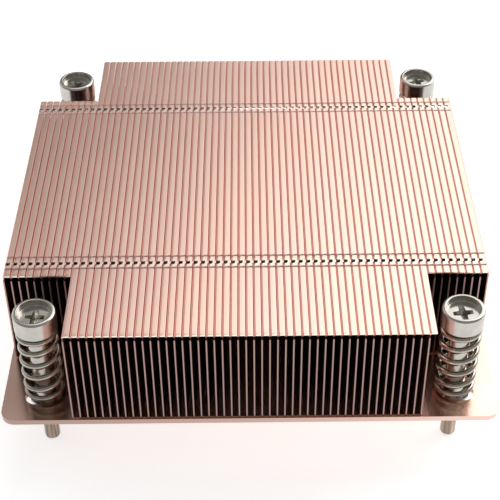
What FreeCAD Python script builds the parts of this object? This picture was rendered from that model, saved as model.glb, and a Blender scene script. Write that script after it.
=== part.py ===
import FreeCAD, Part
import math
import os
import Sketcher

# Passive copper cooler for a server processor, low enough for a one-unit case.
# A thin copper plate carries 64 folded copper fins that interlock along the top,
# and four captive screws with springs press the plate on to the processor.
#
# Frame: millimetres, +Z up, +X right, +Y to the back. The origin is the centre of the
# screw pattern on the underside of the plate, which is the face that meets the processor.

V = FreeCAD.Vector

# Driving dimensions: name, value in millimetres (or a number of fins or turns), what it is.
SIZES = [
    ("plate_left", 0.85, "how far the plate stands out left of the first fin"),
    ("plate_right", 2.19, "how far the plate stands out right of the last fin"),
    ("base_depth", 90.0, "plate, front to back"),
    ("base_thick", 1.1, "plate thickness"),
    ("base_corner", 2.5, "radius of the plate's four corners"),
    ("screw_spacing_x", 75.0, "screw to screw, left to right"),
    ("screw_spacing_y", 75.0, "screw to screw, front to back"),
    ("fin_count", 64, "number of fins"),
    ("fin_pitch", 1.36, "fin to fin"),
    ("fin_sheet", 0.25, "thickness of the fin sheet"),
    ("fin_rise", 20.35, "height of a fin over the plate"),
    ("fin_bend", 0.3, "size of the bevel that stands for a fin's outer bend"),
    ("seam_gap", 0.08, "gap between a fin's flange and the next fin"),
    ("stack_shift", 0.67, "how far the middle of the fins lies left of the origin"),
    ("screw_room", 1.5, "least gap between a screw's head and the long fins beside it"),
    ("long_front", 44.95, "from the origin to the front of the long fins"),
    ("long_rear", 43.75, "from the origin to the rear of the long fins"),
    ("short_front", 8.25, "from the front screws' axes back to the front of the short fins"),
    ("short_rear", 9.55, "from the rear screws' axes forward to the rear of the short fins"),
    ("row_front", 25.5, "from the origin to the front row of interlocks"),
    ("row_rear", 24.65, "from the origin to the rear row of interlocks"),
    ("notch_reach", 0.86, "how far a notch runs into the flange"),
    ("notch_wide", 0.8, "width of a notch along the fin"),
    ("tongue_reach", 0.2, "how far a tongue reaches into the next fin's notch"),
    ("tongue_play", 0.06, "clearance on each side of a tongue"),
    ("head_radius", 3.86, "screw head"),
    ("head_top", 20.75, "height of the screw head's rim over the origin"),
    ("head_tall", 3.7, "height of the screw head"),
    ("head_round", 0.25, "bevel of the screw head's outer rim"),
    ("cup_radius", 3.05, "recess in the screw head"),
    ("cup_deep", 1.1, "depth of that recess"),
    ("cross_long", 3.6, "driver cross, tip to tip"),
    ("cross_wide", 0.85, "width of a driver cross's arm"),
    ("cross_deep", 1.6, "depth of the driver cross"),
    ("shank_radius", 1.85, "screw shank"),
    ("thread_radius", 1.45, "threaded end of the screw"),
    ("thread_below", 10.8, "how far the threaded end reaches below the plate"),
    ("tip_bevel", 0.45, "bevel at the tip"),
    ("groove_radius", 1.15, "groove that holds the clip, between the shank and the thread"),
    ("clip_play", 0.05, "running clearance between the clip and what it touches"),
    ("clip_drop", 0.1, "gap between the plate and the clip"),
    ("clip_thick", 0.6, "clip thickness"),
    ("clip_radius", 3.0, "outside of the clip"),
    ("clip_mouth", 1.9, "width of the clip's open side"),
    ("hole_play", 0.2, "clearance between the screw shank and the plate's hole"),
    ("hole_stretch", 2.15, "how far each hole is drawn out towards the plate's corner"),
    ("wire_radius", 0.52, "spring wire"),
    ("spring_radius", 3.8, "outside of the spring"),
    ("spring_play", 0.02, "clearance at each end of the spring"),
    ("end_turns", 1.0, "close turns at the spring's foot"),
    ("top_turns", 0.75, "close turns at the spring's top"),
    ("open_turns", 4.4, "open turns of the spring"),
]

# The springs are drawn with straight spans and a wire of a few sides.
SPANS_PER_TURN = 9
WIRE_SIDES = 6

# The clip is stamped with this many sides.
CLIP_SIDES = 8

# This many fins at each side have a file of their own. The others share files in pairs.
SINGLE_FINS = 9

# How a sketch numbers its axes, its origin and the points of a line or a circle.
HORIZONTAL_AXIS, VERTICAL_AXIS = range(-1, -3, -1)
START_POINT, END_POINT, CENTRE_POINT = range(1, 4)
SKETCH_ORIGIN = (HORIZONTAL_AXIS, START_POINT)

doc = FreeCAD.newDocument("passive_cpu_cooler")
sheet = doc.addObject("Spreadsheet::Sheet", "sizes")
for row, (alias, value, note) in enumerate(SIZES, start=1):
    sheet.set("A%d" % row, note)
    sheet.set("B%d" % row, str(value))
    sheet.setAlias("B%d" % row, alias)
doc.recompute()


def size(alias):
    """A driving dimension as the sheet holds it."""
    return float(sheet.get(alias))


def origin_plane(body, role):
    """One of the body's own origin planes."""
    for feature in body.Origin.OriginFeatures:
        if feature.Role == role:
            return feature
    raise ValueError("no plane " + role)


def new_body(name):
    """An empty body with that name and label."""
    body = doc.addObject("PartDesign::Body", name)
    body.Label = name
    return body


def new_sketch(body, role, lift=None):
    """A sketch on one of the body's planes, lifted by an expression if one is given."""
    sketch = body.newObject("Sketcher::SketchObject", body.Name + "_sketch")
    sketch.AttachmentSupport = [(origin_plane(body, role), "")]
    sketch.MapMode = "FlatFace"
    if lift:
        sketch.setExpression("AttachmentOffset.Base.z", lift)
    return sketch


def evaluate(expression):
    """The value of an expression over the sheet, in millimetres."""
    value = sheet.evalExpression(expression.replace("sizes.", ""))
    return float(getattr(value, "Value", value))


def tie_point(sketch, geometry, vertex, x_expression, y_expression):
    """Ties one point of a sketch to two expressions, measured from the sketch's origin."""
    directions = (("DistanceX", VERTICAL_AXIS, x_expression), ("DistanceY", HORIZONTAL_AXIS, y_expression))
    for kind, axis, expression in directions:
        if expression == "0":
            sketch.addConstraint(Sketcher.Constraint("PointOnObject", geometry, vertex, axis))
            continue
        distance = Sketcher.Constraint(kind, *SKETCH_ORIGIN, geometry, vertex, evaluate(expression))
        index = sketch.addConstraint(distance)
        sketch.setExpression("Constraints[%d]" % index, expression)


def draw_outline(sketch, corners):
    """A closed outline of straight lines through corners, each a pair of expressions."""
    first = sketch.GeometryCount
    points = []
    for x_expression, y_expression in corners:
        points.append(V(evaluate(x_expression), evaluate(y_expression), 0))
    for index, start in enumerate(points):
        end = points[(index + 1) % len(points)]
        sketch.addGeometry(Part.LineSegment(start, end), False)
    for index, (x_expression, y_expression) in enumerate(corners):
        line = first + index
        following = first + (index + 1) % len(corners)
        sketch.addConstraint(Sketcher.Constraint("Coincident", line, END_POINT, following, START_POINT))
        tie_point(sketch, line, START_POINT, x_expression, y_expression)


def draw_circle(sketch, x_expression, y_expression, radius_expression):
    """A circle whose centre and radius follow expressions."""
    centre = V(evaluate(x_expression), evaluate(y_expression), 0)
    radius = evaluate(radius_expression)
    circle = sketch.addGeometry(Part.Circle(centre, V(0, 0, 1), radius), False)
    tie_point(sketch, circle, CENTRE_POINT, x_expression, y_expression)
    index = sketch.addConstraint(Sketcher.Constraint("Radius", circle, radius))
    sketch.setExpression("Constraints[%d]" % index, radius_expression)


def add_pad(body, sketch, length, back=False):
    """A pad of that length; back turns it to the other side of the sketch."""
    pad = body.newObject("PartDesign::Pad", body.Name + "_pad")
    pad.Profile = sketch
    pad.Reversed = back
    pad.setExpression("Length", length)
    return pad


def add_pocket(body, sketch, length, back=False):
    """A pocket of that depth; back turns it to the other side of the sketch."""
    pocket = body.newObject("PartDesign::Pocket", body.Name + "_pocket")
    pocket.Profile = sketch
    pocket.Reversed = back
    pocket.setExpression("Length", length)
    return pocket


def place(body, x_expression, y_expression, z_expression):
    """Ties the place of a body to three expressions."""
    body.setExpression("Placement.Base.x", x_expression)
    body.setExpression("Placement.Base.y", y_expression)
    body.setExpression("Placement.Base.z", z_expression)


# The four screws, each with its side in X and in Y.
CORNERS = [
    ("front_left", "-1", "-1"),
    ("front_right", "1", "-1"),
    ("rear_left", "-1", "1"),
    ("rear_right", "1", "1"),
]


def screw_x(side):
    """The expression for the X of a screw's axis."""
    return side + " * sizes.screw_spacing_x / 2"


def screw_y(side):
    """The expression for the Y of a screw's axis."""
    return side + " * sizes.screw_spacing_y / 2"


def stack_side(side):
    """The expression for the X of the first fin's left side (-1) or the last fin's right side (1)."""
    return "-sizes.stack_shift + %s * (sizes.fin_count * sizes.fin_pitch - sizes.seam_gap) / 2" % side


def slot_corners(side_x, side_y):
    """Corners of the straight part of a hole that is drawn out towards the plate's corner."""
    radius = "(sizes.shank_radius + sizes.hole_play) / sqrt(2)"
    stretch = "sizes.hole_stretch / sqrt(2)"
    corners = []
    for along, aside in (("0", "-1"), (stretch, "-1"), (stretch, "1"), ("0", "1")):
        corner_x = "%s + %s * (%s) - %s * %s * %s" % (screw_x(side_x), side_x, along, aside, side_y, radius)
        corner_y = "%s + %s * (%s) + %s * %s * %s" % (screw_y(side_y), side_y, along, aside, side_x, radius)
        corners.append((corner_x, corner_y))
    return corners


def make_base_plate():
    """The flat copper plate, with rounded corners and a drawn-out hole for each screw."""
    body = new_body("base_plate")
    outline = new_sketch(body, "XY_Plane")
    left = "%s - sizes.plate_left" % stack_side("-1")
    right = "%s + sizes.plate_right" % stack_side("1")
    front = "-sizes.base_depth / 2"
    rear = "sizes.base_depth / 2"
    draw_outline(outline, [(left, front), (right, front), (right, rear), (left, rear)])
    plate = add_pad(body, outline, "sizes.base_thick")
    doc.recompute()
    upright = []
    for number, edge in enumerate(plate.Shape.Edges, start=1):
        rise = edge.Vertexes[-1].Point - edge.Vertexes[0].Point
        if abs(rise.z) > size("base_thick") / 2:
            upright.append("Edge%d" % number)
    rounding = body.newObject("PartDesign::Fillet", "base_plate_corners")
    rounding.Base = (plate, upright)
    rounding.setExpression("Radius", "sizes.base_corner")
    for stretch in ("0", "sizes.hole_stretch / sqrt(2)"):
        ends = new_sketch(body, "XY_Plane")
        for name, side_x, side_y in CORNERS:
            end_x = "%s + %s * %s" % (screw_x(side_x), side_x, stretch)
            end_y = "%s + %s * %s" % (screw_y(side_y), side_y, stretch)
            draw_circle(ends, end_x, end_y, "sizes.shank_radius + sizes.hole_play")
        add_pocket(body, ends, "sizes.base_thick", back=True)
    straights = new_sketch(body, "XY_Plane")
    for name, side_x, side_y in CORNERS:
        draw_outline(straights, slot_corners(side_x, side_y))
    add_pocket(body, straights, "sizes.base_thick", back=True)
    return body


def clears_screws(left_side):
    """Whether a fin passes between the screws' heads with room to spare, and so can be long."""
    right_side = left_side + size("fin_pitch") - size("seam_gap")
    inner = size("screw_spacing_x") / 2 - size("head_radius") - size("screw_room")
    return left_side >= -inner and right_side <= inner


def make_fin(number):
    """One fin: a sheet folded to a C, with an upright wall and two flanges that point right.

    Each flange reaches the next fin. In two rows along the top, a tongue on the flange's
    free edge sits in the notch of the next fin's bend and locks the fins together.
    """
    across = "%s + %d * sizes.fin_pitch" % (stack_side("-1"), number - 1)
    is_long = clears_screws(evaluate(across))
    reach = "(sizes.fin_pitch - sizes.seam_gap)"
    top = "sizes.fin_rise"
    front = "-sizes.long_front" if is_long else "(-sizes.screw_spacing_y / 2 + sizes.short_front)"
    rear = "sizes.long_rear" if is_long else "(sizes.screw_spacing_y / 2 - sizes.short_rear)"
    body = new_body("fin_%02d" % number)

    section = new_sketch(body, "XZ_Plane")
    draw_outline(section, [
        (reach, "0"),
        ("sizes.fin_bend", "0"),
        ("0", "sizes.fin_bend"),
        ("0", top + " - sizes.fin_bend"),
        ("sizes.fin_bend", top),
        (reach, top),
        (reach, top + " - sizes.fin_sheet"),
        ("sizes.fin_sheet", top + " - sizes.fin_sheet"),
        ("sizes.fin_sheet", "sizes.fin_sheet"),
        (reach, "sizes.fin_sheet"),
    ])
    folded = add_pad(body, section, "(%s) - (%s)" % (rear, front), back=True)

    rows = ["-sizes.row_front", "sizes.row_rear"]
    notches = new_sketch(body, "XY_Plane", lift=top)
    half = "sizes.notch_wide / 2"
    for row_y in rows:
        near = "%s - (%s) - %s" % (row_y, front, half)
        far = "%s - (%s) + %s" % (row_y, front, half)
        draw_outline(notches, [
            ("0", near),
            ("sizes.notch_reach", near),
            ("sizes.notch_reach", far),
            ("0", far),
        ])
    add_pocket(body, notches, "sizes.fin_sheet")

    tongues = new_sketch(body, "XY_Plane", lift=top + " - sizes.fin_sheet")
    half = "(sizes.notch_wide / 2 - sizes.tongue_play)"
    tip = "sizes.fin_pitch + sizes.tongue_reach"
    for row_y in rows:
        near = "%s - (%s) - %s" % (row_y, front, half)
        far = "%s - (%s) + %s" % (row_y, front, half)
        draw_outline(tongues, [(reach, near), (tip, near), (tip, far), (reach, far)])
    add_pad(body, tongues, "sizes.fin_sheet")
    place(body, across, front, "sizes.base_thick")
    return body


def make_screw(name, side_x, side_y):
    """A turned screw with a cupped head, a plain shank, a clip groove and a threaded end."""
    body = new_body(name)
    under = "sizes.head_top - sizes.head_tall"
    floor = "sizes.head_top - sizes.cup_deep"
    groove_top = "-(sizes.clip_drop - sizes.clip_play)"
    groove_low = "-(sizes.clip_drop + sizes.clip_thick + sizes.clip_play)"
    section = new_sketch(body, "XZ_Plane")
    draw_outline(section, [
        ("0", "-sizes.thread_below"),
        ("sizes.thread_radius - sizes.tip_bevel", "-sizes.thread_below"),
        ("sizes.thread_radius", "-sizes.thread_below + sizes.tip_bevel"),
        ("sizes.thread_radius", groove_low),
        ("sizes.groove_radius", groove_low),
        ("sizes.groove_radius", groove_top),
        ("sizes.shank_radius", groove_top),
        ("sizes.shank_radius", under),
        ("sizes.head_radius", under),
        ("sizes.head_radius", "sizes.head_top - sizes.head_round"),
        ("sizes.head_radius - sizes.head_round", "sizes.head_top"),
        ("sizes.cup_radius", "sizes.head_top"),
        ("sizes.cup_radius", floor),
        ("0", floor),
    ])
    turned = body.newObject("PartDesign::Revolution", name + "_turned")
    turned.Profile = section
    turned.ReferenceAxis = (section, ["V_Axis"])
    turned.Angle = 360.0

    cross = new_sketch(body, "XY_Plane", lift=floor)
    arm = "sizes.cross_long / 2"
    half = "sizes.cross_wide / 2"
    corners = []
    for turn in range(4):
        for along, aside in ((half, "-" + half), (arm, "-" + half), (arm, half)):
            corners.append(turned_point(along, aside, turn))
    draw_outline(cross, corners)
    add_pocket(body, cross, "sizes.cross_deep")
    place(body, screw_x(side_x), screw_y(side_y), "0 mm")
    return body


def turned_point(along, aside, quarter_turns):
    """A point at (along, aside), turned about the origin by quarter turns."""
    x_expression = along
    y_expression = aside
    for turn in range(quarter_turns):
        x_expression, y_expression = negated(y_expression), x_expression
    return x_expression, y_expression


def negated(expression):
    """The same expression with the other sign."""
    if expression.startswith("-"):
        return expression[1:]
    return "-" + expression


def clip_ring(radius, first_side, last_side):
    """Corners of an eight-sided ring, as expressions; corner 0 is just right of the clip's mouth."""
    corners = []
    step = 360.0 / CLIP_SIDES
    for side in range(first_side, last_side + 1):
        degrees = 90.0 - step / 2 - step * side
        corner_x = "(%s) * cos(%s deg)" % (radius, degrees)
        corner_y = "(%s) * sin(%s deg)" % (radius, degrees)
        corners.append((corner_x, corner_y))
    return corners


def make_clip(name, side_x, side_y):
    """The spring-steel clip that snaps into the screw's groove and keeps the screw in the plate.

    It is a stamped plate with an open side, or mouth, that is narrower than the groove.
    """
    body = new_body(name)
    half = "sizes.clip_mouth / 2"
    flat_share = "cos(%s deg)" % (180.0 / CLIP_SIDES)
    grip = "(sizes.groove_radius + sizes.clip_play)"
    lip = "sizes.clip_radius * " + flat_share
    throat = grip + " * sqrt(2) - " + half
    corners = [(half, lip)]
    corners.extend(clip_ring("sizes.clip_radius", 0, CLIP_SIDES - 1))
    corners.append(("-" + half, lip))
    corners.append(("-" + half, throat))
    corners.extend(reversed(clip_ring(grip + " / " + flat_share, 1, CLIP_SIDES - 2)))
    corners.append((half, throat))
    outline = new_sketch(body, "XY_Plane")
    draw_outline(outline, corners)
    add_pad(body, outline, "sizes.clip_thick")
    place(body, screw_x(side_x), screw_y(side_y), "-(sizes.clip_drop + sizes.clip_thick)")
    return body


def spring_path():
    """Points along the middle of the wire: close turns, open turns, close turns."""
    wire = size("wire_radius")
    radius = size("spring_radius") - wire
    low = size("base_thick") + size("spring_play") + wire
    high = size("head_top") - size("head_tall") - size("spring_play") - wire
    foot_turns = size("end_turns")
    open_turns = size("open_turns")
    top_turns = size("top_turns")
    close_pitch = 2 * wire
    open_pitch = (high - low - close_pitch * (foot_turns + top_turns)) / open_turns
    turns = foot_turns + open_turns + top_turns
    spans = int(round(turns * SPANS_PER_TURN))
    points = []
    for span in range(spans + 1):
        turn = turns * span / spans
        foot = min(turn, foot_turns)
        middle = min(max(turn - foot_turns, 0.0), open_turns)
        top = max(turn - foot_turns - open_turns, 0.0)
        height = low + close_pitch * (foot + top) + open_pitch * middle
        angle = 2 * math.pi * turn + math.pi / 2
        points.append(V(radius * math.cos(angle), radius * math.sin(angle), height))
    return points


def make_spring_shape():
    """The coil spring as one solid, swept along its path with a many-sided wire."""
    points = spring_path()
    start = (points[1] - points[0]).normalize()
    outward = V(points[0].x, points[0].y, 0).normalize()
    across = start.cross(outward)
    wire = size("wire_radius")
    section = []
    for side in range(WIRE_SIDES):
        angle = 2 * math.pi * (side + 0.5) / WIRE_SIDES
        offset = outward * (wire * math.cos(angle)) + across * (wire * math.sin(angle))
        section.append(points[0] + offset)
    section.append(section[0])
    profile = Part.makePolygon(section)
    sharp_corners = 1
    return Part.makePolygon(points).makePipeShell([profile], True, False, sharp_corners)


def make_spring(name, side_x, side_y, shape):
    """One spring round a screw's shank, between the plate and the screw's head."""
    spring = doc.addObject("Part::Feature", name)
    spring.Label = name
    spring.Shape = shape
    centre_x = evaluate(screw_x(side_x))
    centre_y = evaluate(screw_y(side_y))
    spring.Placement = FreeCAD.Placement(V(centre_x, centre_y, 0), FreeCAD.Rotation())
    return spring


def make_fin_pair(number):
    """Two neighbouring fins kept as one group of two separate solids."""
    name = "fins_%02d_%02d" % (number, number + 1)
    group = doc.addObject("Part::Compound", name)
    group.Label = name
    group.Links = [make_fin(number), make_fin(number + 1)]
    return group


def make_fins():
    """All fins from left to right: those at the sides singly, the others in pairs."""
    total = int(size("fin_count"))
    nodes = []
    number = 1
    while number <= total:
        if SINGLE_FINS < number < total - SINGLE_FINS:
            nodes.append(make_fin_pair(number))
            number += 2
        else:
            nodes.append(make_fin(number))
            number += 1
    return nodes


def build():
    """Every sub-part of the cooler, in the order of its assembly."""
    nodes = [make_base_plate()]
    nodes.extend(make_fins())
    spring_shape = make_spring_shape()
    for corner, side_x, side_y in CORNERS:
        nodes.append(make_screw("screw_" + corner, side_x, side_y))
        nodes.append(make_clip("clip_" + corner, side_x, side_y))
        nodes.append(make_spring("spring_" + corner, side_x, side_y, spring_shape))
    doc.recompute()
    return nodes


def check(nodes):
    """Stops with a message if an object failed or a sub-part has no sound shape."""
    for item in doc.Objects:
        for state in item.State:
            if state in ("Invalid", "Error"):
                raise RuntimeError("%s is %s" % (item.Name, state))
    for node in nodes:
        if node.Shape.isNull() or not node.Shape.isValid():
            raise RuntimeError("%s has no valid shape" % node.Label)


def export(nodes):
    """Writes one file for each sub-part."""
    os.makedirs("parts", exist_ok=True)
    for node in nodes:
        node.Shape.exportStep("parts/" + node.Label + ".step")
        print(node.Label, len(node.Shape.Solids), round(node.Shape.Volume, 2))


parts = build()
check(parts)
export(parts)
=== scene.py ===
"""The passive server CPU heatsink: a copper plate, folded copper fins and four spring screws.

Lengths in the tables below are in millimetres, as in the CAD source, unless a comment says metres.
MM turns them to metres. The camera's angles are in radians, and all others are in degrees.
"""
import math

import bmesh
import bpy
from mathutils import Matrix, Vector


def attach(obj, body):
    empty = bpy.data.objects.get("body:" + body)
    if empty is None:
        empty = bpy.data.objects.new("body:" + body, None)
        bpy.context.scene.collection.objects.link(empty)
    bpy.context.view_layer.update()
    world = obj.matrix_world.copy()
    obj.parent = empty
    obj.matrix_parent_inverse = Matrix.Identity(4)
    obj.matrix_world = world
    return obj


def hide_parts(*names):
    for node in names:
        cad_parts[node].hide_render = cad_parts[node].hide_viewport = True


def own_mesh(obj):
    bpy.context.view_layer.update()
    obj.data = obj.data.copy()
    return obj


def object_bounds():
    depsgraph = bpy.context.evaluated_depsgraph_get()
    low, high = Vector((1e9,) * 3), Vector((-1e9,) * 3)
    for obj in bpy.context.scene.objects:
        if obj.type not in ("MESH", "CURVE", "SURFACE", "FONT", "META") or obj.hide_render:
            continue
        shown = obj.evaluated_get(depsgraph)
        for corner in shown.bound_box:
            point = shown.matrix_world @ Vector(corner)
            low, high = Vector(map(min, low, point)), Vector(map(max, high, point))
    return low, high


MM = 0.001

# The camera, fitted to the photograph.
CAMERA_PLACE = (0.24361, -198.98855, 169.21842)
CAMERA_YAW = 0.00035
CAMERA_DOWN = 0.69624
CAMERA_ROLL = -0.00934
CAMERA_LENS = 90.58
CAMERA_SENSOR = 36.0
CAMERA_NEAR = 10.0

# The sky's level, read from the tones on the fins. A direction is a unit vector: x points to the
# right, y to the rear and z up. Behind the object the level is a base that grows with x and z.
SKY_BASE = -2.62
SKY_TO_RIGHT = 7.0
SKY_UPWARDS = 6.35
SKY_MOST = 1.75
# The least level far to the left and nearer the middle, and the x where each is reached.
SKY_LEAST = (0.8, 0.12)
SKY_LEAST_FROM = (-0.6, -0.25)
# The level behind the camera, and the y between which it turns into the one behind the object.
SKY_DIM = 0.36
SKY_EDGE = (0.0, 0.4)
# The z between which the white backdrop turns into the sky.
BACKDROP_EDGE = (0.0, 0.08)

# The floor, in metres, and how much it glows.
FLOOR_HALF = 1.5
FLOOR_COLOUR = (0.7, 0.7, 0.7, 1.0)
FLOOR_ROUGH = 0.9
FLOOR_GLOW = 0.68
WHITE = (1.0, 1.0, 1.0, 1.0)

# The key lamp, in metres and watts.
KEY_PLACE = (0.45, 0.3, 0.5)
KEY_TARGET = (0.0, 0.0, 0.01)
KEY_SIZE = 0.4
KEY_POWER = 1.5

# The metals: pairs of colours, and of roughness, between which noise moves.
FIN_TONES = ((0.93, 0.625, 0.505), (0.98, 0.69, 0.57))
FIN_CLOUD = (0.93, 0.65, 0.55)
FIN_ROUGH = (0.28, 0.32)
PLATE_TONES = ((0.8, 0.525, 0.425), (0.88, 0.615, 0.505))
# The plate's sides: a darker colour that is painted shade.
PLATE_SIDE_SHADE = (0.72, 0.5, 0.435)
PLATE_ROUGH = (0.19, 0.22)
NICKEL_TONES = ((0.46, 0.435, 0.39), (0.55, 0.53, 0.485))
NICKEL_ROUGH = (0.14, 0.22)
END_STEEL_TONES = ((0.17, 0.13, 0.1), (0.56, 0.46, 0.37))
SPRING_TONES = ((0.33, 0.295, 0.25), (0.47, 0.435, 0.38))
SPRING_ROUGH = (0.12, 0.2)
CLIP_TONES = ((0.3, 0.3, 0.31), (0.42, 0.42, 0.43))
CLIP_ROUGH = (0.25, 0.4)
# What the plate's colour is multiplied by at its left and right edge, a painted light gradient
# that is darker to the left and brighter to the right.
PLATE_PAINTED_LIGHT = (0.6, 1.12)
# The heights between which the darker, streaked colour of a screw's end turns into nickel.
NICKEL_EDGE = (-1.1, -0.6)

# How the fins' colour changes with a face's level of painted light: where a change starts and ends,
# and the colour that it leads to. Painted highlights make the cut edges across the top and the
# rings round the slots pale; painted shade turns the bends red, the grooves and the walls' edges
# brown-grey, and the gaps between the fins dark.
PAINTED_LIGHT_STEPS = (
    (0.0, -1.0, (0.99, 0.9, 0.8)),
    (0.0, 0.4, (0.82, 0.47, 0.41)),
    (0.4, 0.7, (0.34, 0.255, 0.235)),
    (0.7, 1.0, (0.5, 0.28, 0.22)),
)
# Painted light per face: below 0 a highlight, above 0 shade. A bend's go from its wall to its
# flange.
CUT_EDGE_HIGHLIGHT = -1.0
RING_HIGHLIGHT = -0.55
BARE_SHADE = 0.3
EDGE_SHADE = 0.32
BEND_SHADES = (0.42, 0.4, 0.34, 0.2)
GROOVE_SHADE = 0.6
WALL_EDGE_SHADE = 0.78
OUTER_EDGE_SHADE = 1.0
GAP_SHADE = 1.0

# The plate and the fins, as in the CAD source, but with rounder bends, longer flanges, wider slots
# and fronts that end 0.3 further back.
PLATE_TOP = 1.1
PLATE_HALF = 45.0
PITCH = 1.36
SHEET = 0.25
FIN_TOP = 21.45
BEND = 0.42
BEND_STEPS = len(BEND_SHADES)
FLANGE = 1.352
TONGUE = 1.56
TONGUE_HALF = 0.34
STACK_LEFT = -44.15
FIN_COUNT = 64
LONG_FINS = range(10, 57)
LONG_ENDS = (-44.65, 43.75)
SHORT_ENDS = (-28.95, 27.95)
# The fins with a side that no other fin covers.
OPEN_FINS = (1, 10, 56)
# The small cut at each fin's front upper corner.
RELIEF_TALL = 0.8
RELIEF_DEEP = 0.9

# The two rows where the fins lock together: middle of the slot, then the groove on each side of it.
ROWS = ((-25.5, -1.4, 1.8), (24.65, -1.5, 1.65))
GROOVE_HALF = 0.24
GROOVE_DEEP = 0.12
SLOT_HALF = 0.44
# The slot's edge from its rear left corner to its front left one, rounded at the front, as x from
# the fin's wall and y from the row's middle.
SLOT_EDGE = (
    (BEND, SLOT_HALF), (0.58, SLOT_HALF), (0.69, SLOT_HALF), (0.79, SLOT_HALF), (0.87, 0.42),
    (0.925, 0.36), (0.945, 0.26), (0.945, 0.13), (0.945, 0.0), (0.94, -0.11), (0.91, -0.22),
    (0.86, -0.31), (0.79, -0.38), (0.72, -0.42), (0.63, -SLOT_HALF), (0.56, -SLOT_HALF),
    (BEND, -SLOT_HALF),
)
# The raised ring round a slot: each line's half width, its reach to the right and its lift.
RING_LIFT = 0.004
RINGS = ((0.58, 1.03, RING_LIFT), (0.78, 1.15, RING_LIFT), (0.93, 1.26, 0.0))
RING_STRAIGHT = 0.54
RING_MIDDLE = 0.58
RING_STEPS = 12
# The corners on the edges of a row's patch of flange: x in front and behind, y on the right.
FLANGE_STOPS = (0.66, 0.86, 1.08)
SEAM_STOPS = (1.0, 0.66, TONGUE_HALF, 0.0, -TONGUE_HALF, -0.66, -1.0)
# Breaks that lie closer than this are the same one.
TOUCH = 1e-6

# Faces that meet at more than this have a crisp edge. On the fins it is more than a step of the
# bends, 22.5 degrees, and less than the slope of the grooves, 26.6 degrees.
FIN_CRISP = 25.0
SCREW_CRISP = 35.0
PLAIN_CRISP = 50.0
# The bevels on the edges of the plate and the clips.
PLATE_BEVEL = 0.12
CLIP_BEVEL = 0.05
BEVEL_SEGMENTS = 3

# The screws, with a rounder rim and a deeper cup than in the CAD source.
SPACING = 75.0
CORNERS = {
    "front_left": (-1, -1),
    "front_right": (1, -1),
    "rear_left": (-1, 1),
    "rear_right": (1, 1),
}
SCREW_SIDES = 96
HEAD_TOP = 20.75
HEAD_UNDER = 17.05
HEAD_RADIUS = 3.86
CUP_RADIUS = 3.05
CUP_FLOOR = 19.45
CUP_FLOOR_ROUND = 0.08
CUP_EDGE_ROUND = 0.1
RIM_ROUND = 0.55
HEAD_UNDER_ROUND = 0.18
NECK_ROUND = 0.2
SHANK_RADIUS = 1.85
SHANK_BEVEL = 0.05
CLIP_GROOVE_RADIUS = 1.15
CLIP_GROOVE_LOW = -0.75
THREAD_RADIUS = 1.45
THREAD_BEVEL = 0.1
THREAD_TOP = -1.6
THREAD_LOW = -6.0
THREAD_PITCH = 0.4
THREAD_DEEP = 0.16
# The thread's corners in each pitch: how far down it, as a part of the pitch, and how deep.
THREAD_CORNERS = ((0.08, 0.0), (0.46, THREAD_DEEP), (0.54, THREAD_DEEP), (0.92, 0.0))
END_LOW = -10.8
END_BEVEL = 0.45
END_STEP = 0.1
# The cross recess from its mouth down: tip to tip, width of an arm, width where the arms meet,
# depth under the cup's floor. Then how far each screw's cross is turned.
CROSS_LEVELS = ((3.6, 0.95, 1.25, 0.0), (3.3, 0.8, 1.05, 0.12), (1.7, 0.5, 0.7, 1.5))
CROSS_TURN = {"front_left": -6.0, "front_right": 7.0, "rear_left": 40.0, "rear_right": 20.0}

# The springs. The radius and heights are those of the wire's middle.
WIRE = 0.52
WIRE_SIDES = 16
SPRING_RADIUS = 3.28
SPRING_LOW = 1.64
SPRING_HIGH = 16.51
SPRING_START = 40.0
FOOT_TURNS = 1.0
OPEN_TURNS = 4.4
TOP_TURNS = 0.75
SPANS_PER_TURN = 32


def new_material(name):
    """A node-based material: the material itself, its node tree and its shader."""
    material = bpy.data.materials.new(name)
    material.use_nodes = True
    tree = material.node_tree
    return material, tree, tree.nodes["Principled BSDF"]


def add_node(tree, kind, inputs=None, **settings):
    """A node with its settings, and a value or a linked socket for each named input."""
    node = tree.nodes.new(kind)
    for name, value in settings.items():
        setattr(node, name, value)
    for name, value in (inputs or {}).items():
        if isinstance(value, bpy.types.NodeSocket):
            tree.links.new(value, node.inputs[name])
        else:
            node.inputs[name].default_value = value
    return node


def maths(tree, operation, *values):
    """What an operation makes of its values."""
    return add_node(tree, "ShaderNodeMath", dict(enumerate(values)), operation=operation).outputs[0]


def coordinate(tree, kind, axis):
    """One axis of the frame's coordinates, in metres, or of the surface's direction."""
    vector = add_node(tree, "ShaderNodeTexCoord").outputs[kind]
    return add_node(tree, "ShaderNodeSeparateXYZ", {0: vector}).outputs[axis]


def noise(tree, scale, detail=3.0):
    """Noise with so many patches a metre along each axis."""
    place = add_node(tree, "ShaderNodeTexCoord").outputs["Object"]
    place = add_node(tree, "ShaderNodeMapping", {"Vector": place, "Scale": scale}).outputs[0]
    inputs = {"Vector": place, "Scale": 1.0, "Detail": detail}
    return add_node(tree, "ShaderNodeTexNoise", inputs).outputs["Fac"]


def spread(tree, value, low, high, start=0.3, end=0.7):
    """A value mapped from start..end to low..high. Most of a noise lies in 0.3..0.7."""
    inputs = {"Value": value, "From Min": start, "From Max": end, "To Min": low, "To Max": high}
    return add_node(tree, "ShaderNodeMapRange", inputs).outputs[0]


def blend_colours(tree, factor, first, second):
    """A colour between two others."""
    node = add_node(tree, "ShaderNodeMix", data_type="RGBA")
    tree.links.new(factor, node.inputs[0])
    for socket, value in ((node.inputs[6], first), (node.inputs[7], second)):
        if isinstance(value, bpy.types.NodeSocket):
            tree.links.new(value, socket)
        else:
            socket.default_value = (*value, 1.0)
    return node.outputs[2]


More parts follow.
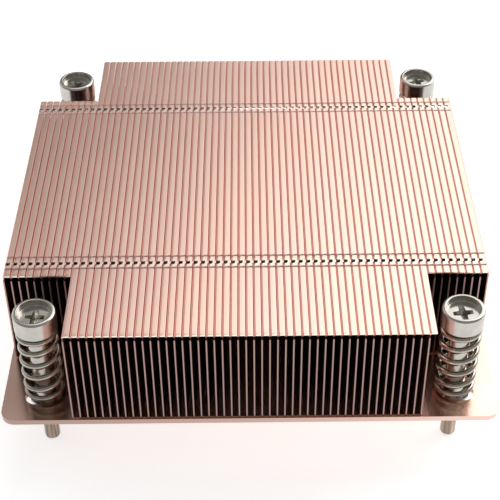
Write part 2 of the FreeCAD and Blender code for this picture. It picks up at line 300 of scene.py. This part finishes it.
def finish_metal(tree, shader, colour, grain, rough, height):
    """Links a metal's colour, and a grain that varies its roughness and raises it by height."""
    shader.inputs["Metallic"].default_value = 1.0
    tree.links.new(colour, shader.inputs["Base Color"])
    tree.links.new(spread(tree, grain, *rough), shader.inputs["Roughness"])
    inputs = {"Height": grain, "Distance": height * MM, "Strength": 1.0}
    bump = add_node(tree, "ShaderNodeBump", inputs)
    tree.links.new(bump.outputs[0], shader.inputs["Normal"])


def make_fin_copper():
    """Satin rolled copper: fine lines along the fins, soft clouds, no two fins quite alike, and
    painted light per face.
    """
    material, tree, shader = new_material("fin_copper")
    across = coordinate(tree, "Object", "X")
    count = maths(tree, "MULTIPLY_ADD", across, 1 / (PITCH * MM), -STACK_LEFT / PITCH)
    number = maths(tree, "FLOOR", count)
    chance = add_node(tree, "ShaderNodeTexWhiteNoise", {"W": number}, noise_dimensions="1D")
    tone = blend_colours(tree, chance.outputs["Value"], *FIN_TONES)
    clouds = spread(tree, noise(tree, (60.0, 60.0, 60.0)), 0.0, 1.0)
    colour = blend_colours(tree, clouds, tone, FIN_CLOUD)
    # Each fin face's level of painted highlight and painted shade, mapped through the steps above.
    tarnish_and_painted_light = add_node(tree, "ShaderNodeAttribute", attribute_name="tarnish_and_painted_light").outputs["Fac"]
    for start, end, deeper in PAINTED_LIGHT_STEPS:
        colour = blend_colours(tree, spread(tree, tarnish_and_painted_light, 0.0, 1.0, start, end), colour, deeper)
    lines = noise(tree, (6000.0, 160.0, 6000.0), 2.0)
    finish_metal(tree, shader, colour, lines, FIN_ROUGH, 0.0006)
    return material


def make_plate_copper():
    """Brushed copper: lines from front to rear, stains, painted shade on its sides, and painted
    light that grows to the right.
    """
    material, tree, shader = new_material("plate_copper")
    stains = spread(tree, noise(tree, (90.0, 90.0, 90.0), 4.0), 0.0, 1.0)
    colour = blend_colours(tree, stains, *PLATE_TONES)
    # Painted shade: the sides are darker than the top.
    flat = maths(tree, "ABSOLUTE", coordinate(tree, "Normal", "Z"))
    colour = blend_colours(tree, spread(tree, flat, 1.0, 0.0, 0.1, 0.6), colour, PLATE_SIDE_SHADE)
    # Painted light: darker to the left, brighter to the right.
    across = coordinate(tree, "Object", "X")
    painted_gradient = spread(tree, across, *PLATE_PAINTED_LIGHT, -PLATE_HALF * MM, PLATE_HALF * MM)
    painted_colour = add_node(tree, "ShaderNodeVectorMath", {0: colour, 1: painted_gradient}, operation="MULTIPLY")
    lines = noise(tree, (5000.0, 120.0, 5000.0), 2.0)
    finish_metal(tree, shader, painted_colour.outputs[0], lines, PLATE_ROUGH, 0.0003)
    return material


def make_nickel():
    """Nickel plating with the lathe's fine rings, and a darker, streaked colour on the end below
    the plate.
    """
    material, tree, shader = new_material("screw_nickel")
    tarnish_and_painted_light = spread(tree, noise(tree, (400.0, 400.0, 400.0), 4.0), 0.0, 1.0)
    colour = blend_colours(tree, tarnish_and_painted_light, *NICKEL_TONES)
    streaks = spread(tree, noise(tree, (1600.0, 1600.0, 60.0), 2.0), 0.0, 1.0)
    steel = blend_colours(tree, streaks, *END_STEEL_TONES)
    height = coordinate(tree, "Object", "Z")
    below = spread(tree, height, 1.0, 0.0, *(edge * MM for edge in NICKEL_EDGE))
    colour = blend_colours(tree, below, colour, steel)
    tangent = add_node(tree, "ShaderNodeTangent", direction_type="RADIAL", axis="Z").outputs[0]
    tree.links.new(tangent, shader.inputs["Tangent"])
    shader.inputs["Anisotropic"].default_value = 0.7
    rings = noise(tree, (300.0, 300.0, 14000.0), 2.0)
    finish_metal(tree, shader, colour, rings, NICKEL_ROUGH, 0.001)
    return material


def make_steel(name, tones, rough):
    """Drawn steel: fine grain and a mottled oxide tone."""
    material, tree, shader = new_material(name)
    mottle = spread(tree, noise(tree, (700.0, 700.0, 700.0), 4.0), 0.0, 1.0)
    colour = blend_colours(tree, mottle, *tones)
    grain = noise(tree, (2500.0, 2500.0, 2500.0))
    finish_metal(tree, shader, colour, grain, rough, 0.002)
    return material


class FoldedSheet:
    """Gathers the faces of a thin folded sheet. Each is given once, by its outer corners."""

    def __init__(self):
        self.outer = []
        self.inner = []
        self.known = {}
        self.faces = []
        self.shades = []

    def corner(self, outer, inner):
        """The number of a corner, given by its two points on the sheet's outside and inside."""
        key = tuple(round(value, 5) for value in outer)
        if key not in self.known:
            self.known[key] = len(self.outer)
            self.outer.append(outer)
            self.inner.append(inner)
        return self.known[key]

    def face(self, corners, outside=0.0, inside=GAP_SHADE, edge=GAP_SHADE):
        """A face, counter-clockwise from outside, and the painted light on its sides and edges."""
        self.faces.append(tuple(corners))
        self.shades.append((outside, inside, edge))

    def solid(self):
        """The points, faces and face shades of the whole sheet, with its inside and cut edges.

        The cut edges that run across the fins at the top get a painted highlight.
        """
        count = len(self.outer)
        used = {}
        for face, shade in zip(self.faces, self.shades):
            for start, end in zip(face, face[1:] + face[:1]):
                used[(start, end)] = shade[2]
        faces = list(self.faces)
        faces.extend(tuple(count + corner for corner in reversed(face)) for face in self.faces)
        shades = [shade[0] for shade in self.shades] + [shade[1] for shade in self.shades]
        for (start, end), shade in used.items():
            if (end, start) not in used:
                faces.append((end, start, count + start, count + end))
                here, there = self.outer[start], self.outer[end]
                # Cut edges across the top flange get a painted highlight.
                painted_highlight = here[1:] == there[1:] and here[2] > FIN_TOP / 2
                shades.append(CUT_EDGE_HIGHLIGHT if painted_highlight else shade)
        return self.outer + self.inner, faces, shades


def top_corner(sheet, x, y, lift=0.0):
    """A corner on the top flange."""
    top = FIN_TOP + lift
    return sheet.corner((x, y, top), (x, y, top - SHEET))


def bend_corner(sheet, step, y, lift=0.0, top=True):
    """A corner on a bend. Step 0 is at the wall, the last step at the flange."""
    angle = math.pi / 2 * step / BEND_STEPS
    inner = BEND - SHEET
    side = 1 if top else -1
    middle = FIN_TOP - BEND if top else PLATE_TOP + BEND
    aside = math.cos(angle)
    up = side * math.sin(angle)
    lift *= step / BEND_STEPS
    return sheet.corner(
        (BEND - BEND * aside, y, middle + BEND * up + lift),
        (BEND - inner * aside, y, middle + inner * up + lift),
    )


def wall_corner(sheet, y, z):
    """A corner on the upright wall."""
    return sheet.corner((0.0, y, z), (SHEET, y, z))


def ring_points(half, reach):
    """One line of the raised ring round the slot: straight beside it, round at its right."""
    points = [(BEND, half), (RING_STRAIGHT, half)]
    for step in range(RING_STEPS + 1):
        angle = math.radians(90 - 180 * step / RING_STEPS)
        x = RING_MIDDLE + (reach - RING_MIDDLE) * math.cos(angle)
        points.append((x, half * math.sin(angle)))
    points.extend([(RING_STRAIGHT, -half), (BEND, -half)])
    return points


def frame_points(low, high):
    """The outer edge of a row's patch of flange."""
    points = [(x, high) for x in (BEND, *FLANGE_STOPS, FLANGE)]
    points.extend((FLANGE, y) for y in SEAM_STOPS)
    points.extend((x, low) for x in (FLANGE, *reversed(FLANGE_STOPS), BEND))
    return points


def add_row(sheet, middle, low, high):
    """The patch of flange with the slot, the raised ring round it and the tongue."""
    loops = [(SLOT_EDGE, 0.0)]
    loops.extend((ring_points(half, reach), lift) for half, reach, lift in RINGS)
    loops.append((frame_points(low, high), 0.0))
    lines = []
    for points, lift in loops:
        lines.append([top_corner(sheet, x, middle + y, lift) for x, y in points])
    for inside, outside, (_, lift) in zip(lines, lines[1:], loops[1:]):
        # The raised ring's faces get a paler painted highlight.
        shade = RING_HIGHLIGHT if lift else 0.0
        for step in range(len(inside) - 1):
            corners = (inside[step], inside[step + 1], outside[step + 1], outside[step])
            sheet.face(corners, outside=shade, edge=EDGE_SHADE)
    tongue = [(FLANGE, TONGUE_HALF), (FLANGE, 0.0), (FLANGE, -TONGUE_HALF)]
    tongue.extend([(TONGUE, -TONGUE_HALF), (TONGUE, TONGUE_HALF)])
    sheet.face([top_corner(sheet, x, middle + y) for x, y in tongue], edge=EDGE_SHADE)


def row_breaks(middle, *grooves):
    """Where the bend changes height beside a row, as (y, lift) from front to rear."""
    breaks = []
    for groove in grooves:
        breaks.append((groove - GROOVE_HALF, 0.0))
        breaks.append((groove, -GROOVE_DEEP))
        breaks.append((groove + GROOVE_HALF, 0.0))
    for side in (-1, 1):
        breaks.append((side * SLOT_HALF, 0.0))
        breaks.extend((side * half, lift) for half, _, lift in RINGS)
    return sorted((middle + offset, lift) for offset, lift in breaks)


def add_bend(sheet, start, end, groove):
    """The upper bend between two breaks."""
    for step, shade in enumerate(BEND_SHADES):
        sheet.face((
            bend_corner(sheet, step, *end),
            bend_corner(sheet, step, *start),
            bend_corner(sheet, step + 1, *start),
            bend_corner(sheet, step + 1, *end),
        ), outside=max(groove, shade))


def add_flange(sheet, start, end, extra, shade):
    """A plain piece of the top flange between two breaks, with the extra corners beside a row."""
    corners = [top_corner(sheet, x, *start) for x in (BEND, *extra[0], FLANGE)]
    corners.extend(top_corner(sheet, x, *end) for x in (FLANGE, *reversed(extra[1]), BEND))
    sheet.face(corners, outside=shade, edge=EDGE_SHADE)


def add_wall(sheet, front, rear, breaks):
    """The upright wall, with the small cut at its front upper corner."""
    low = PLATE_TOP + BEND
    high = FIN_TOP - BEND - RELIEF_TALL
    wall = [wall_corner(sheet, front, low), wall_corner(sheet, front, high)]
    wall.append(wall_corner(sheet, front + RELIEF_DEEP, high))
    wall.extend(bend_corner(sheet, 0, y, lift) for y, lift in breaks if y > front)
    wall.extend([wall_corner(sheet, rear, high), wall_corner(sheet, rear, low)])
    sheet.face(reversed(wall), outside=GAP_SHADE, edge=WALL_EDGE_SHADE)


def add_foot(sheet, front, rear):
    """The bend and the flange on the plate."""
    for step in range(BEND_STEPS):
        sheet.face((
            bend_corner(sheet, step, front, top=False),
            bend_corner(sheet, step, rear, top=False),
            bend_corner(sheet, step + 1, rear, top=False),
            bend_corner(sheet, step + 1, front, top=False),
        ), outside=GAP_SHADE)
    edge = [((FLANGE, y, PLATE_TOP), (FLANGE, y, PLATE_TOP + SHEET)) for y in (rear, front)]
    sheet.face((
        bend_corner(sheet, BEND_STEPS, front, top=False),
        bend_corner(sheet, BEND_STEPS, rear, top=False),
        sheet.corner(*edge[0]),
        sheet.corner(*edge[1]),
    ), outside=GAP_SHADE)


def lies_in(y, spans):
    """Whether y lies in one of the spans."""
    return any(low < y < high for low, high in spans)


def fin_shape(ends):
    """The points, faces and shades of one fin with its wall at x 0, from ends[0] to ends[1]."""
    sheet = FoldedSheet()
    front, rear = ends
    breaks = [(front, 0.0), (front + RELIEF_DEEP, 0.0), (rear, 0.0)]
    patches = []
    slots = []
    for middle, low, high in ROWS:
        breaks.extend(row_breaks(middle, low, high))
        patches.append((middle + low + GROOVE_HALF, middle + high - GROOVE_HALF))
        slots.append((middle - SLOT_HALF, middle + SLOT_HALF))
        add_row(sheet, middle, low + GROOVE_HALF, high - GROOVE_HALF)
    breaks.sort()
    for start, end in zip(breaks, breaks[1:]):
        centre = (start[0] + end[0]) / 2
        groove = GROOVE_SHADE if min(start[1], end[1]) < 0 else 0.0
        if not lies_in(centre, slots):
            add_bend(sheet, start, end, groove)
        if not lies_in(centre, patches):
            after_row = any(abs(start[0] - high) < TOUCH for _, high in patches)
            before_row = any(abs(end[0] - low) < TOUCH for low, _ in patches)
            extra = (FLANGE_STOPS if after_row else (), FLANGE_STOPS if before_row else ())
            add_flange(sheet, start, end, extra, groove)
    add_wall(sheet, front, rear, breaks)
    add_foot(sheet, front, rear)
    return sheet.solid()


def end_shape():
    """The same for the plain sheet that closes the stack, notched for the last fin's tongues."""
    sheet = FoldedSheet()
    front, rear = SHORT_ENDS
    high = FIN_TOP - BEND
    stops = [row[0] + side for row in ROWS for side in (-SLOT_HALF, SLOT_HALF)]
    stops = sorted([front, rear] + stops)
    wall = [wall_corner(sheet, front, PLATE_TOP)]
    wall.extend(wall_corner(sheet, y, high) for y in stops)
    wall.append(wall_corner(sheet, rear, PLATE_TOP))
    sheet.face(reversed(wall), outside=GAP_SHADE, inside=BARE_SHADE, edge=OUTER_EDGE_SHADE)
    for start, end in zip(stops[::2], stops[1::2]):
        strip = [(end, high), (end, FIN_TOP), (start, FIN_TOP), (start, high)]
        corners = [wall_corner(sheet, y, z) for y, z in strip]
        sheet.face(corners, outside=GAP_SHADE, inside=BARE_SHADE, edge=EDGE_SHADE)
    return sheet.solid()


def add_object(name, data):
    """A new object in the scene."""
    thing = bpy.data.objects.new(name, data)
    bpy.context.scene.collection.objects.link(thing)
    return thing


def make_piece(name, points, faces, material, body, shades=None):
    """A piece of the object, given in millimetres, that rides on a body."""
    mesh = bpy.data.meshes.new(name)
    mesh.from_pydata([tuple(value * MM for value in point) for point in points], [], faces)
    mesh.materials.append(material)
    mesh.polygons.foreach_set("use_smooth", [True] * len(mesh.polygons))
    # Each face keeps its level of painted light and shade as an attribute.
    if shades:
        mesh.attributes.new("tarnish_and_painted_light", "FLOAT", "FACE").data.foreach_set("value", shades)
    piece = add_object(name, mesh)
    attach(piece, body)
    return piece


def keep_edges_crisp(piece, angle):
    """Smooth shading with crisp edges where two faces meet at more than angle degrees."""
    piece.data.set_sharp_from_angle(angle=math.radians(angle))
    normals = piece.modifiers.new("normals", "WEIGHTED_NORMAL")
    normals.keep_sharp = True


def make_fins(nodes, copper):
    """A finely folded sheet in the place of every fin of the CAD model, and the closing sheet."""
    shapes = {True: fin_shape(LONG_ENDS), False: fin_shape(SHORT_ENDS)}
    for node in sorted(nodes):
        if not node.startswith("fin"):
            continue
        points = []
        faces = []
        shades = []
        for number in (int(word) for word in node.split("_")[1:]):
            fin_points, fin_faces, fin_shades = shapes[number in LONG_FINS]
            shift = STACK_LEFT + (number - 1) * PITCH
            first = len(points)
            points.extend((x + shift, y, z) for x, y, z in fin_points)
            faces.extend(tuple(first + corner for corner in face) for face in fin_faces)
            # Walls that face no other fin get less painted shade; the first fin's front edge gets
            # the darkest.
            swaps = {GAP_SHADE: BARE_SHADE} if number in OPEN_FINS else {}
            if number == 1:
                swaps[WALL_EDGE_SHADE] = OUTER_EDGE_SHADE
            shades.extend(swaps.get(shade, shade) for shade in fin_shades)
        piece = make_piece("sheet_" + node, points, faces, copper, "cooler", shades)
        keep_edges_crisp(piece, FIN_CRISP)
        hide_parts(node)
    points, faces, shades = end_shape()
    placed = [(x + STACK_LEFT + FIN_COUNT * PITCH, y, z) for x, y, z in points]
    piece = make_piece("sheet_end", placed, faces, copper, "cooler", shades)
    keep_edges_crisp(piece, PLAIN_CRISP)


def screw_axis(corner):
    """Where the screw of a corner stands."""
    side_x, side_y = CORNERS[corner]
    return Vector((side_x * SPACING / 2, side_y * SPACING / 2, 0.0))


def spring_height(turn):
    """Height of the middle of the wire after so many turns."""
    close_pitch = 2 * WIRE
    open_pitch = (SPRING_HIGH - SPRING_LOW - close_pitch * (FOOT_TURNS + TOP_TURNS)) / OPEN_TURNS
    foot = min(turn, FOOT_TURNS)
    middle = min(max(turn - FOOT_TURNS, 0.0), OPEN_TURNS)
    top = max(turn - FOOT_TURNS - OPEN_TURNS, 0.0)
    return SPRING_LOW + close_pitch * (foot + top) + open_pitch * middle


def spring_shape():
    """The points and faces of a spring of round wire, with its two cut ends."""
    turns = FOOT_TURNS + OPEN_TURNS + TOP_TURNS
    spans = round(turns * SPANS_PER_TURN)
    path = []
    for span in range(spans + 1):
        turn = turns * span / spans
        angle = 2 * math.pi * turn + math.radians(SPRING_START)
        out = Vector((math.cos(angle), math.sin(angle), 0.0))
        path.append((out * SPRING_RADIUS + Vector((0.0, 0.0, spring_height(turn))), out))
    points = []
    for span, (place, out) in enumerate(path):
        before = path[max(span - 1, 0)][0]
        after = path[min(span + 1, spans)][0]
        along = (after - before).normalized()
        up = along.cross(out).normalized()
        for side in range(WIRE_SIDES):
            angle = 2 * math.pi * side / WIRE_SIDES
            points.append(place + out * (WIRE * math.cos(angle)) + up * (WIRE * math.sin(angle)))
    faces = []
    for first in range(0, spans * WIRE_SIDES, WIRE_SIDES):
        for side in range(WIRE_SIDES):
            here = first + side
            beside = first + (side + 1) % WIRE_SIDES
            faces.append((here, beside, beside + WIRE_SIDES, here + WIRE_SIDES))
    faces.append(tuple(reversed(range(WIRE_SIDES))))
    faces.append(tuple(range(spans * WIRE_SIDES, (spans + 1) * WIRE_SIDES)))
    return points, faces


def make_springs(steel):
    """A spring of round wire in each corner."""
    points, faces = spring_shape()
    for corner in CORNERS:
        axis = screw_axis(corner)
        placed = [tuple(point + axis) for point in points]
        piece = make_piece("coil_" + corner, placed, faces, steel, "cooler")
        keep_edges_crisp(piece, PLAIN_CRISP)
        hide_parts("spring_" + corner)
        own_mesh(piece)


def arc(middle_r, middle_z, radius, start, end, steps):
    """Points on a rounding of a turned profile, as radius and height."""
    points = []
    for step in range(steps + 1):
        angle = math.radians(start + (end - start) * step / steps)
        points.append((middle_r + radius * math.cos(angle), middle_z + radius * math.sin(angle)))
    return points


def thread_profile():
    """A fine thread, from its upper end down to its lower end."""
    points = []
    for turn in range(round((THREAD_TOP - THREAD_LOW) / THREAD_PITCH)):
        top = THREAD_TOP - turn * THREAD_PITCH
        for part, deep in THREAD_CORNERS:
            points.append((THREAD_RADIUS - deep, top - part * THREAD_PITCH))
    return points


def screw_profile():
    """The screw's outline, radius and height, from the edge of the cup's floor out and down."""
    floor, edge, rim, under, neck = (
        CUP_FLOOR_ROUND, CUP_EDGE_ROUND, RIM_ROUND, HEAD_UNDER_ROUND, NECK_ROUND,
    )
    points = arc(CUP_RADIUS - floor, CUP_FLOOR + floor, floor, -90, 0, 6)
    points.extend(arc(CUP_RADIUS + edge, HEAD_TOP - edge, edge, 180, 90, 4))
    points.extend(arc(HEAD_RADIUS - rim, HEAD_TOP - rim, rim, 90, 0, 8))
    points.extend(arc(HEAD_RADIUS - under, HEAD_UNDER + under, under, 0, -90, 5))
    points.extend(arc(SHANK_RADIUS + neck, HEAD_UNDER - neck, neck, 90, 180, 4))
    points.extend([(SHANK_RADIUS, 0.0), (SHANK_RADIUS - SHANK_BEVEL, -SHANK_BEVEL)])
    points.extend((CLIP_GROOVE_RADIUS, height) for height in (-SHANK_BEVEL, CLIP_GROOVE_LOW))
    points.append((THREAD_RADIUS - THREAD_BEVEL, CLIP_GROOVE_LOW))
    points.append((THREAD_RADIUS, CLIP_GROOVE_LOW - THREAD_BEVEL))
    points.extend(thread_profile())
    points.extend((THREAD_RADIUS, height) for height in (THREAD_LOW, END_LOW + END_BEVEL))
    points.extend(arc(THREAD_RADIUS - END_BEVEL, END_LOW + END_BEVEL, END_BEVEL, -15, -75, 4))
    points.append((THREAD_RADIUS - END_BEVEL - END_STEP, END_LOW))
    return points


def cross_outline(length, width, inner):
    """The twelve corners of a cross, its inner corners cut back to inner."""
    half = width / 2
    corner = inner / 2
    quarter = [(length / 2, -half), (length / 2, half), (corner, corner)]
    points = []
    for cos, sin in ((1, 0), (0, 1), (-1, 0), (0, -1)):
        points.extend((x * cos - y * sin, x * sin + y * cos) for x, y in quarter)
    return points


def join_rings(mesh, rings):
    """Faces from each ring of corners down to the next."""
    for upper, lower in zip(rings, rings[1:]):
        for step in range(len(upper)):
            after = (step + 1) % len(upper)
            mesh.faces.new((upper[step], lower[step], lower[after], upper[after]))


def turned_mesh(profile):
    """A mesh of a profile turned round the upright axis, and its first ring, which stays open."""
    mesh = bmesh.new()
    angles = [2 * math.pi * side / SCREW_SIDES for side in range(SCREW_SIDES)]
    rings = []
    for radius, height in profile:
        places = [(radius * math.cos(angle), radius * math.sin(angle), height) for angle in angles]
        rings.append([mesh.verts.new(place) for place in places])
    join_rings(mesh, rings)
    mesh.faces.new(reversed(rings[-1]))
    return mesh, rings[0]


def cut_cross(mesh, ring):
    """Closes the cup's floor with a tapered cross cut in its middle."""
    loops = []
    for length, width, inner, depth in CROSS_LEVELS:
        outline = cross_outline(length, width, inner)
        loops.append([mesh.verts.new((x, y, CUP_FLOOR - depth)) for x, y in outline])
    join_rings(mesh, loops)
    mesh.faces.new(loops[-1])
    edges = []
    for line in (ring, loops[0]):
        edges.extend(mesh.edges.get((line[step], line[step - 1])) for step in range(len(line)))
    bmesh.ops.triangle_fill(mesh, use_beauty=True, use_dissolve=False, edges=edges)


def make_screws(nickel):
    """A turned screw in the place of each of the CAD model's."""
    mesh, ring = turned_mesh(screw_profile())
    cut_cross(mesh, ring)
    bmesh.ops.recalc_face_normals(mesh, faces=mesh.faces)
    mesh.verts.index_update()
    faces = [tuple(vert.index for vert in face.verts) for face in mesh.faces]
    for corner in CORNERS:
        turn = Matrix.Rotation(math.radians(CROSS_TURN[corner]), 3, "Z")
        axis = screw_axis(corner)
        points = [tuple(turn @ vert.co + axis) for vert in mesh.verts]
        name = "screw_" + corner
        piece = make_piece("bolt_" + corner, points, faces, nickel, name)
        keep_edges_crisp(piece, SCREW_CRISP)
        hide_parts(name)
    mesh.free()


def finish_cad_piece(piece, material, width):
    """Gives a piece of the CAD model its material, and bevels of a width on its edges."""
    for material_slot in piece.material_slots:
        material_slot.material = material
    bevel = piece.modifiers.new("edges", "BEVEL")
    bevel.width = width * MM
    bevel.segments = BEVEL_SEGMENTS
    bevel.angle_limit = math.radians(PLAIN_CRISP)
    bevel.harden_normals = True


def make_key_lamp():
    """A soft square lamp from the right rear that the camera doesn't see."""
    lamp = bpy.data.lights.new("key", "AREA")
    lamp.shape = "SQUARE"
    lamp.size = KEY_SIZE
    lamp.energy = KEY_POWER
    holder = add_object("key", lamp)
    away = (Vector(KEY_PLACE) - Vector(KEY_TARGET)).normalized()
    turn = away.to_track_quat("Z", "Y").to_matrix().to_4x4()
    holder.matrix_world = Matrix.Translation(KEY_PLACE) @ turn
    holder.visible_camera = False


def make_camera():
    """The camera at the photograph's angle."""
    camera = bpy.data.cameras.new("camera")
    camera.sensor_fit = "HORIZONTAL"
    camera.sensor_width = CAMERA_SENSOR
    camera.lens = CAMERA_LENS
    camera.clip_start = CAMERA_NEAR * MM
    forward = Vector((
        math.sin(CAMERA_YAW) * math.cos(CAMERA_DOWN),
        math.cos(CAMERA_YAW) * math.cos(CAMERA_DOWN),
        -math.sin(CAMERA_DOWN),
    ))
    level = Vector((math.cos(CAMERA_YAW), -math.sin(CAMERA_YAW), 0.0))
    above = level.cross(forward)
    right = math.cos(CAMERA_ROLL) * level + math.sin(CAMERA_ROLL) * above
    up = -math.sin(CAMERA_ROLL) * level + math.cos(CAMERA_ROLL) * above
    turn = Matrix((right, up, -forward)).transposed().to_4x4()
    holder = add_object("camera", camera)
    holder.matrix_world = Matrix.Translation(Vector(CAMERA_PLACE) * MM) @ turn
    bpy.context.scene.camera = holder


def make_world():
    """A studio: white backdrop all round, and above it soft light that grows right and upwards.

    It is the same for every kind of ray. Behind the camera the ceiling is dim.
    """
    world = bpy.data.worlds.new("studio")
    world.use_nodes = True
    bpy.context.scene.world = world
    tree = world.node_tree
    x, y, z = (coordinate(tree, "Generated", axis) for axis in "XYZ")
    level = maths(tree, "MULTIPLY_ADD", x, SKY_TO_RIGHT, SKY_BASE)
    level = maths(tree, "MULTIPLY_ADD", z, SKY_UPWARDS, level)
    least = spread(tree, x, *SKY_LEAST, *SKY_LEAST_FROM)
    level = add_node(tree, "ShaderNodeClamp", {0: level, 1: least, 2: SKY_MOST}).outputs[0]
    behind = spread(tree, y, 0.0, 1.0, *SKY_EDGE)
    sky = add_node(tree, "ShaderNodeMix", {0: behind, 2: SKY_DIM, 3: level}).outputs[0]
    above = spread(tree, z, 0.0, 1.0, *BACKDROP_EDGE)
    strength = add_node(tree, "ShaderNodeMix", {0: above, 2: 1.0, 3: sky}).outputs[0]
    background = tree.nodes["Background"]
    tree.links.new(strength, background.inputs["Strength"])
    background.inputs["Color"].default_value = WHITE


def make_floor(low):
    """A pale floor under the screws' ends. It glows a little for the camera and in mirrors."""
    half = FLOOR_HALF
    corners = [(-half, -half, low), (half, -half, low), (half, half, low), (-half, half, low)]
    mesh = bpy.data.meshes.new("floor")
    mesh.from_pydata(corners, [], [(0, 1, 2, 3)])
    material, tree, shader = new_material("floor")
    shader.inputs["Base Color"].default_value = FLOOR_COLOUR
    shader.inputs["Roughness"].default_value = FLOOR_ROUGH
    shader.inputs["Specular IOR Level"].default_value = 0.0
    shader.inputs["Emission Color"].default_value = WHITE
    rays = add_node(tree, "ShaderNodeLightPath").outputs
    seen = rays["Is Camera Ray"]
    for name in ("Is Glossy Ray", "Is Transmission Ray"):
        seen = maths(tree, "MAXIMUM", seen, rays[name])
    glow = spread(tree, seen, 0.0, FLOOR_GLOW, 0.0, 1.0)
    tree.links.new(glow, shader.inputs["Emission Strength"])
    mesh.materials.append(material)
    add_object("floor", mesh)


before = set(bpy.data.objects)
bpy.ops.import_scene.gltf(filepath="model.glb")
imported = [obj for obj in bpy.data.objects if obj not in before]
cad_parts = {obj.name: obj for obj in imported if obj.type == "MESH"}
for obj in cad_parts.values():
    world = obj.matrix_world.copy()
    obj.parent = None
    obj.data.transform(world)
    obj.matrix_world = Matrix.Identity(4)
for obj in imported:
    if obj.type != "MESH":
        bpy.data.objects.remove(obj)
cad_low, cad_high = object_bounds()
make_camera()
make_world()
make_floor(cad_low[2])
make_key_lamp()

fin_copper = make_fin_copper()
plate_copper = make_plate_copper()
nickel = make_nickel()
spring_steel = make_steel("spring_steel", SPRING_TONES, SPRING_ROUGH)
clip_steel = make_steel("clip_steel", CLIP_TONES, CLIP_ROUGH)
make_fins(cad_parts, fin_copper)
make_springs(spring_steel)
make_screws(nickel)
for node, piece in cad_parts.items():
    if node.startswith("base"):
        finish_cad_piece(piece, plate_copper, PLATE_BEVEL)
    elif node.startswith("clip"):
        finish_cad_piece(piece, clip_steel, CLIP_BEVEL)

bpy.context.scene.view_settings.view_transform = "Standard"
